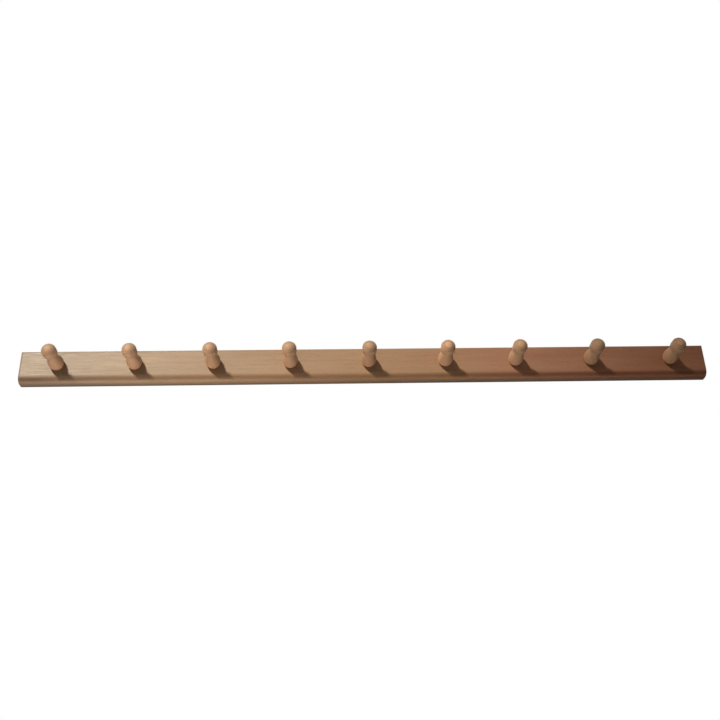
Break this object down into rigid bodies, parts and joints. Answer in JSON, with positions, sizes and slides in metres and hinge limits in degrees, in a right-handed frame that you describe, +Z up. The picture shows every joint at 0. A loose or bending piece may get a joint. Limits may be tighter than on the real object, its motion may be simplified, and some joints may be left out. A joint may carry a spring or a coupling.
{
  "type": "wall peg rail",
  "caption": "Long wooden wall rail with a row of turned mushroom-headed pegs, a rounded lower front edge and hidden keyhole hangers at the back.",
  "frame": {"origin": "centre of the board's back face, which lies on the wall", "axes": "+X along the rail to the right as seen from the front, +Y into the wall, +Z up; the pegs point along -Y"},
  "size_m": [1.22, 0.0841, 0.0604],
  "materials": {
    "rail_wood": "satin clear finish on close-grained hardwood, grain along the rail",
    "peg_wood": "satin clear finish on turned hardwood, grain along the peg",
    "hanger_plate": "zinc-plated pressed steel",
    "screw_steel": "zinc-plated steel"
  },
  "bodies": {
    "root": {"rail_board": "rail_wood", "peg_1": "peg_wood", "peg_2": "peg_wood", "peg_3": "peg_wood", "peg_4": "peg_wood", "peg_5": "peg_wood", "peg_6": "peg_wood", "peg_7": "peg_wood", "peg_8": "peg_wood", "peg_9": "peg_wood", "keyhole_plate_left": "hanger_plate", "keyhole_plate_right": "hanger_plate", "plate_screws_left": "screw_steel", "plate_screws_right": "screw_steel"}
  },
  "joints": []
}
